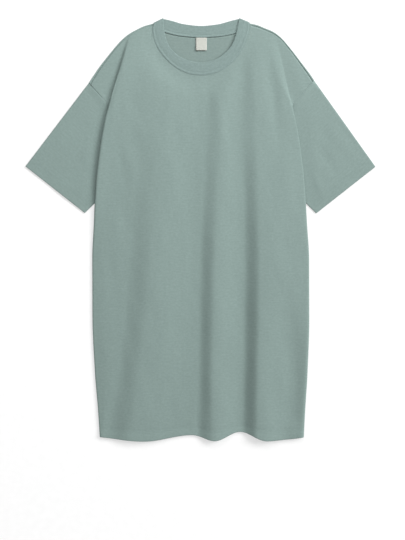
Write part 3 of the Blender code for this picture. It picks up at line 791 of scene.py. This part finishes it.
SLEEVE_CREASES = {
    RIGHT: [(-262.0, 300.0, -385.0, 150.0, 14.0, 1.0), (-255.0, 210.0, -345.0, 120.0, 13.0, -0.9),
            (-250.0, 150.0, -300.0, 70.0, 10.0, 0.8), (-300.0, 290.0, -395.0, 165.0, 9.0, -0.5)],
    LEFT: [(262.0, 305.0, 380.0, 150.0, 14.0, 0.9), (258.0, 220.0, 340.0, 115.0, 13.0, -0.9),
           (252.0, 160.0, 296.0, 70.0, 10.0, 0.8), (305.0, 290.0, 392.0, 160.0, 9.0, -0.5)],
}
SLEEVE_UNEVENNESS = {side: [(40.0, 55.0, 0.9, 11.3 * side), (15.0, 18.0, 0.25, 5.1 * side)]
                     for side in (RIGHT, LEFT)}


def armhole_line(side):
    """Armhole seam at a positive half width, from the shoulder to the underarm."""
    top, bend = ARMHOLE_TOP[side], (SIDES.at("edge", CHEST_CROSSING), CHEST_CROSSING)
    straight, curved = 5, 16        # steps
    line = [(mix(top[0], bend[0], i / straight), mix(top[1], bend[1], i / straight))
            for i in range(straight + 1)]
    for i in range(1, curved + 1):
        y = mix(CHEST_CROSSING, UNDERARM_Y, i / curved)
        line.append((SIDES.at("edge", y), y))
    return along(line, ACROSS_SLEEVE)


def sleeve_clear(x, y):
    """0 under the body's side fold, rising to 1 outside it."""
    bend, top = (SIDES.at("edge", CHEST_CROSSING), CHEST_CROSSING), ARMHOLE_TOP[LEFT]
    slope = (top[0] - bend[0]) / (top[1] - bend[1])
    inner = SIDES.at("fold", y) if y < CHEST_CROSSING else bend[0] + (y - CHEST_CROSSING) * slope
    return ease((x - inner - SLEEVE_REST) / SLEEVE_RAMP)


def sleeve_section(line):
    """Closed loop round a sleeve whose lower layer follows a line."""
    line = [Vector(p) for p in line]
    top_way = (line[1] - line[0]).normalized()
    low_way = (line[-1] - line[-2]).normalized()
    base = (SECOND_LAYER - FLOOR_LAYER) / 2
    top_radius = base + SLEEVE_ROLL * sleeve_clear(*line[0])
    low_radius = base + SLEEVE_ROLL * sleeve_clear(*line[-1])
    line[0] = line[0] + top_way * (top_radius + CLOTH / 2)
    line[-1] = line[-1] - low_way * (low_radius + CLOTH / 2)
    loop = [(p.x, p.y, FLOOR_LAYER) for p in line]
    for a in EDGE_ANGLES:
        p = line[-1] + low_way * (low_radius * math.sin(a))
        loop.append((p.x, p.y, FLOOR_LAYER + low_radius * (1 - math.cos(a))))
    for i, p in reversed(list(enumerate(line))):
        across = i / (len(line) - 1)
        clear = sleeve_clear(p.x, p.y)
        edge_rise = FLOOR_LAYER + 2 * mix(top_radius, low_radius, across) - SECOND_LAYER
        edge_rise *= mix(1, clear, ease(min(across, 1 - across) / SLEEVE_EDGES))
        rise = SLEEVE_RISE * math.sin(math.pi * across) ** SLEEVE_ROUND * clear
        loop.append((p.x, p.y, SECOND_LAYER + max(edge_rise, rise)))
    for a in reversed(EDGE_ANGLES):
        p = line[0] - top_way * (top_radius * math.sin(a))
        loop.append((p.x, p.y, FLOOR_LAYER + top_radius * (1 - math.cos(a))))
    return loop


def back_from_cuff(corner, other, start, depth):
    """Where the sleeve's edge from start to corner is a depth away from the cuff's line."""
    way = (Vector(other) - Vector(corner)).normalized()
    edge = Vector(start) - Vector(corner)
    return Vector(corner) + edge * (depth / abs(way.x * edge.y - way.y * edge.x))


def sleeve_places(side):
    """The grid of one sleeve, from the cuff up to the armhole."""
    seam = armhole_line(side)
    count = len(seam) - 1
    cuff_top, cuff_bottom = CUFFS[side]
    cuff = [Vector(cuff_top).lerp(Vector(cuff_bottom), i / count) for i in range(count + 1)]
    first = back_from_cuff(cuff_top, cuff_bottom, seam[0], HEM_DEPTH)
    last = back_from_cuff(cuff_bottom, cuff_top, seam[-1], HEM_DEPTH)
    inside_cuff = [first.lerp(last, i / count) for i in range(count + 1)]
    rows = [sleeve_section([a.lerp(b, i / ROWS_CUFF) for a, b in zip(cuff, inside_cuff)])
            for i in range(ROWS_CUFF)]
    for i in range(ROWS_SLEEVE + 1):
        t = 1 - (1 - i / ROWS_SLEEVE) ** SLEEVE_CROWDING
        rows.append(sleeve_section([a.lerp(Vector(b), t) for a, b in zip(inside_cuff, seam)]))
    places = np.array([[(side * x, y, z) for x, y, z in row] for row in rows])
    # The upper layer, but for its first place, at the underarm's folded edge.
    first_upper = count + len(EDGE_ANGLES) + 2
    top = places[:, first_upper:first_upper + count].copy()
    middle = np.array([math.sin(math.pi * j / (count - 1)) ** CREASE_ROUND for j in range(count)])
    clear = np.array([[sleeve_clear(abs(x), y) for x, y, _ in row] for row in top])
    top = creased(top, SLEEVE_CREASES[side], middle * clear)
    top = uneven(top, SLEEVE_UNEVENNESS[side], middle * clear)
    # At the seam the sleeve comes up to the front's own armhole edge.
    to_seam = np.linalg.norm(top - top[-1], axis=2)
    edge = front_places[-ROWS_YOKE - 1:, 0 if side == RIGHT else -1]
    in_sight = ease((top[-1, :, 1] - CHEST_CROSSING) / FOLD_COVER + 1)
    level = np.interp(top[-1, :, 1], edge[:, 1], edge[:, 2]) + ARMHOLE_SINK[side]
    rise = in_sight * np.maximum(level - top[-1, :, 2], 0.0)
    top[..., 2] += rise * np.exp(-(to_seam / SEAM_SLOPE) ** 2)
    top[..., 2] -= in_sight * ARMHOLE_SINK[side] * np.exp(-(to_seam / SEAM_GROOVE) ** 2)
    places[:, first_upper:first_upper + count] = top
    return places


def make_sleeve(name, side):
    """One sleeve with its hem turned in and stitched."""
    places = sleeve_places(side)
    # The cloth lies flat, so its two directions are those along and across the cuff.
    along_cuff = (Vector(CUFFS[side][0]) - Vector(CUFFS[side][1])).normalized()
    turned = np.array([(side * along_cuff.x, -side * along_cuff.y), (along_cuff.y, along_cuff.x)])
    flat = places[..., :2] @ turned
    flat = np.concatenate([flat, flat[:, :1]], axis=1) * MM
    # The two sleeves mirror each other, so the right one's rows are turned round.
    hemmed, hemmed_flat = turned_hem(places, flat, ROWS_CUFF, -side, tube=True)
    if side == RIGHT:
        hemmed, hemmed_flat = hemmed[::-1], hemmed_flat[::-1]
    item = sewn_piece(name + "_tube", cloth_mesh(name + "_tube", hemmed, hemmed_flat, tube=True),
                      CLOTH, jersey, jersey_reverse)
    for n, row_above in enumerate(HEM_STITCHING, 1):
        line, stand = line_above_hem(places, facing(places, tube=True) * side,
                                     HEM_DEPTH / ROWS_CUFF, row_above)
        line, stand = (np.concatenate([ring, ring[:1]]) for ring in (line, stand))
        line[:, 2] += PRESSED_IN * np.clip(-stand[:, 2], 0, 1)
        stitch_row(f"{name}_stitching_{n}", line, stand)
    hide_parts(name)


make_sleeve("sleeve_right", RIGHT)
make_sleeve("sleeve_left", LEFT)

# ============================================================ neckband
# One strip of 1 x 1 rib, folded along its length and closed into a ring.  Its raw
# edges are in the neck seam and its fold is the free edge; the ring itself is
# folded on both shoulders.
RIB_WALL = 0.9
RIB_WALE = 2.4          # mm between ribs; real ones are 1.6 mm
RIB_APART = 0.52        # from the middle of the doubled rib to each of its layers
BAND_GAP = 0.06         # between the band and the body at the seam
BAND_CROWN = 0.4
BAND_SETTLE = 0.35      # how much lower the band lies at its seam than at its free edge
BAND_BACK_LEVEL = 1.0
BAND_TIP_LEVEL = 3.3    # middle of the front of the band where it folds on the shoulder
BAND_TIP = 0.12         # share of the front over which it comes up from there
BAND_FOLD_RADIUS = (BAND_TIP_LEVEL - BAND_BACK_LEVEL) / 2
BAND_STEPS_FRONT, BAND_STEPS_BACK, BAND_STEPS_FOLD, BAND_ACROSS = 132, 72, 12, 22
BAND_CROWDING = 1.35    # places across stand closer together towards the seam
# The seam allowances within make a welt beside the seam, on the layer that shows.
FRONT_WELT = [
    # from_seam half_width height
    (3.2, 1.8, 0.4), (7.0, 1.8, -0.15), (0.0, 1.0, -0.1),
]
BACK_WELT = [(1.8, 1.5, 0.9), (5.6, 1.0, -0.2)]


def band_line(station, level, slack=1.0):
    """Across the band at a station, from its seam to its free edge."""
    outer, inner = Vector(station[:2]), Vector(station[2:])
    outer = outer + (inner - outer).normalized() * BAND_GAP
    inner = inner - (inner - outer).normalized() * RIB_APART
    line = []
    for i in range(BAND_ACROSS + 1):
        share = (i / BAND_ACROSS) ** BAND_CROWDING
        lift = BAND_CROWN * math.sin(math.pi * share) - BAND_SETTLE * (1 - share)
        line.append((*outer.lerp(inner, share), level + slack * lift))
    return line


def band_level(share):
    """Middle of the front of the band, a share of the way from tip to tip."""
    return mix(BAND_TIP_LEVEL, NECK_LEVEL, ease(min(share, 1 - share) / BAND_TIP))


def band_turn(station, outward, going_up):
    """The turn of the band on the shoulder, between its back and its front."""
    outer, inner = Vector(station[:2]), Vector(station[2:])
    way = (inner - outer).normalized()
    normal = Vector((way.y, -way.x)) * outward
    rows = []
    for i in range(1, BAND_STEPS_FOLD):
        a = math.pi * i / BAND_STEPS_FOLD
        level = BAND_BACK_LEVEL + BAND_FOLD_RADIUS * (1 - math.cos(a))
        shift = normal * BAND_FOLD_RADIUS * math.sin(a)
        line = band_line(station, level, (1 - math.cos(a)) / 2)
        rows.append([(x + shift.x, y + shift.y, z) for x, y, z in line])
    return rows if going_up else rows[::-1]


def add_welt(layer, from_seam, welt):
    """Lifts and lowers a stretch of one layer of the band beside its seam."""
    for place, width, height in welt:
        layer[..., 2] += height * np.exp(-((from_seam - place) / width) ** 2)


rows = [band_line(s, band_level(i / BAND_STEPS_FRONT))
        for i, s in enumerate(along(BAND_FRONT, BAND_STEPS_FRONT))]
rows += band_turn(BAND_BACK[0], 1, False)
rows += [band_line(s, BAND_BACK_LEVEL, 0.0) for s in along(BAND_BACK, BAND_STEPS_BACK)]
rows += band_turn(BAND_BACK[-1], -1, True)
middle = np.array(rows)
stand = facing(middle, ring=True)
turn = folded_edge(middle[:, -1], length_one(middle[:, -1] - middle[:, -2]), stand[:, -1],
                   RIB_APART, FOLD_ANGLES)
inside, outside = middle + stand * RIB_APART, middle - stand * RIB_APART
from_seam = np.linalg.norm(middle - middle[:, :1], axis=2)
back_start = BAND_STEPS_FRONT + BAND_STEPS_FOLD
on_front, on_back = slice(0, BAND_STEPS_FRONT + 1), slice(back_start, back_start + BAND_STEPS_BACK + 1)
add_welt(outside[on_front], from_seam[on_front], FRONT_WELT)
add_welt(inside[on_back], from_seam[on_back], BACK_WELT)
band_places = np.concatenate([inside, np.stack(turn, axis=1), outside[:, ::-1]], axis=1)
ringed = np.concatenate([band_places, band_places[:1]])
across = np.linalg.norm(np.diff(ringed, axis=1), axis=2)
v = np.concatenate([np.zeros((len(ringed), 1)), np.cumsum(across, axis=1)], axis=1)
round_neck = np.linalg.norm(np.diff(ringed[:, BAND_ACROSS // 2], axis=0), axis=1)
u = np.concatenate([[0], np.cumsum(round_neck)])[:, None] * np.ones_like(v)
band_flat = np.stack([u, v], axis=2) * MM
# Each rib stands up and shades the groove beside it, so the rib looks a little darker.
RIB_COLOURS = [(0.30, "#6D7E7B"), (0.5, "#758683"), (0.70, "#7D8E8B")]
rib = knit_material("cotton_one_by_one_rib", RIB_COLOURS, RIB_WALE, 0.45)
neckband = sewn_piece("neckband_rib", cloth_mesh("neckband_rib", band_places, band_flat, ring=True),
                      RIB_WALL, rib)
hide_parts("neckband")

# ============================================================ label
# A plain off-white tab of woven ribbon, folded double, its cut ends in the back
# neck seam and its folded end lifting a little.
NECK_X, NECK_Y = BAND_BACK[len(BAND_BACK) // 2][:2]
SEAM_GAP = 0.3
LABEL_WIDTH, LABEL_LENGTH = 26.0, 30.0
LABEL_LEVEL, LABEL_LIFT = 2.0, 1.6      # middle of the tab at the seam, and its end above that
LABEL_CROWN = 0.25
RIBBON_WALL = 0.32
RIBBON_APART = 0.28     # from the middle of the doubled ribbon to each of its layers
LABEL_ROWS, LABEL_COLUMNS = 14, 10


def label_place(down, across):
    """Middle of the tab, by shares of its length from the seam and of its width from its middle."""
    lift = LABEL_LIFT * down * down + LABEL_CROWN * down * (1 - 4 * across * across)
    y = NECK_Y - SEAM_GAP - (LABEL_LENGTH - RIBBON_APART) * down
    return NECK_X + LABEL_WIDTH * across, y, LABEL_LEVEL + lift


middle = np.array([[label_place(i / LABEL_ROWS, j / LABEL_COLUMNS - 0.5) for j in range(LABEL_COLUMNS + 1)]
                   for i in range(LABEL_ROWS + 1)])
stand = -facing(middle)
turn = folded_edge(middle[-1], length_one(middle[-1] - middle[-2]), stand[-1], RIBBON_APART, FOLD_ANGLES)
upper, lower = middle + stand * RIBBON_APART, middle - stand * RIBBON_APART
label_places = np.concatenate([lower, turn[::-1], upper[::-1]])
rise = np.linalg.norm(np.diff(label_places, axis=0), axis=2)
v = np.concatenate([np.zeros((1, label_places.shape[1])), np.cumsum(rise, axis=0)])
label_flat = np.stack([label_places[..., 0] - NECK_X, v], axis=2) * MM

# Its close weave is smooth, with a faint gloss and fine lines both ways.
ribbon = new_material("woven_polyester_ribbon", {
    "Roughness": 0.6, "Specular IOR Level": 0.35, "Sheen Weight": 0.1})
ribbon_flat = add_node(ribbon, "UVMap", {"uv_map": "flat_cloth"})
THREADS = 1.1           # mm between ribbon threads; real ones are 0.25 mm, too fine to show
WEAVE_RELIEF = 0.2      # mm
weave = crossed_rows(ribbon, ribbon_flat, (THREADS, THREADS), (0.3, 0.3), 2.0)
surface_of(ribbon, add_node(ribbon, "ValToRGB", {}, {"Fac": (weave, 0)},
                            [(0.0, "#A6A8A1"), (1.0, "#B1B3AB")]),
           add_node(ribbon, "Bump", {"Strength": 0.3, "Distance": WEAVE_RELIEF * MM},
                    {"Height": (weave, 0)}))
label = sewn_piece("label_tab", cloth_mesh("label_tab", label_places, label_flat),
                   RIBBON_WALL, ribbon)
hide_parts("label")

# ============================================================ table, light and camera
# A seamless white table under a large soft lamp from the upper right, with white
# light from all round, and a camera that looks straight down.
TABLE_SIZE = 12.0       # metres, as are the lamps' sizes and places
TABLE_GAP = 0.2
bpy.ops.mesh.primitive_plane_add(size=TABLE_SIZE, location=(0, 0, -TABLE_GAP * MM))
table_top = bpy.context.object
table_top.name = "table_top"
# Matt paper, lit from below a little, as on a light table.
paper = new_material("white_studio_paper", {
    "Roughness": 1.0, "Specular IOR Level": 0.0,
    "Emission Color": linear("#FFFFFF"), "Emission Strength": 0.52})
PAPER_MOTTLE = 16.7     # mm between the paper's faint cloudy spots
paper_place = add_node(paper, "TexCoord")
paper_grain = add_node(paper, "TexNoise", {"Scale": 1 / (PAPER_MOTTLE * MM), "Detail": 2.0},
                       {"Vector": (paper_place, "Object")})
surface_of(paper, add_node(paper, "ValToRGB", {}, {"Fac": (paper_grain, 0)},
                           [(0.3, "#AAAAAA"), (0.7, "#AEAEAE")]))
table_top.data.materials.append(paper)


def soft_lamp(name, place, size, power):
    """A round lamp of a size and a power in watts, turned to the dress."""
    data = bpy.data.lights.new(name, "AREA")
    data.shape = "DISK"
    data.size = size
    data.energy = power
    lamp = bpy.data.objects.new(name, data)
    lamp.location = place
    lamp.rotation_euler = (-Vector(place)).to_track_quat("-Z", "Y").to_euler()
    bpy.context.scene.collection.objects.link(lamp)


soft_lamp("key_lamp", (7.41, 3.42, 4.85), 5.0, 1040.0)
soft_lamp("top_lamp", (0.2, 1.5, 1.3), 1.1, 18.0)

SKY_AT_HORIZON, SKY_OVERHEAD = 0.12, 0.75   # the room is white above and dim round about
world = bpy.data.worlds.new("white_room")
world.use_nodes = True
direction = add_node(world, "TexCoord")
axes = add_node(world, "SeparateXYZ", {}, {"Vector": (direction, "Generated")})
strength = add_node(world, "MapRange", {"To Min": SKY_AT_HORIZON, "To Max": SKY_OVERHEAD},
                    {"Value": (axes, "Z")})
sky = world.node_tree.nodes["Background"]
sky.inputs["Color"].default_value = linear("#FFFFFF")
world.node_tree.links.new(strength.outputs["Result"], sky.inputs["Strength"])
bpy.context.scene.world = world
bpy.context.scene.view_settings.view_transform = "Standard"

# The camera is above the middle of the view, whose height on the table sets its lens.
VIEW_X, VIEW_Y, VIEW_HEIGHT = 5.2, -96.6, 1279.8
CAMERA_HEIGHT = 2300.0
SENSOR = 36.0
camera_data = bpy.data.cameras.new("camera")
camera_data.sensor_width = SENSOR
camera_data.lens = SENSOR * CAMERA_HEIGHT / VIEW_HEIGHT
camera = bpy.data.objects.new("camera", camera_data)
camera.location = (VIEW_X * MM, VIEW_Y * MM, CAMERA_HEIGHT * MM)
bpy.context.scene.collection.objects.link(camera)
bpy.context.scene.camera = camera
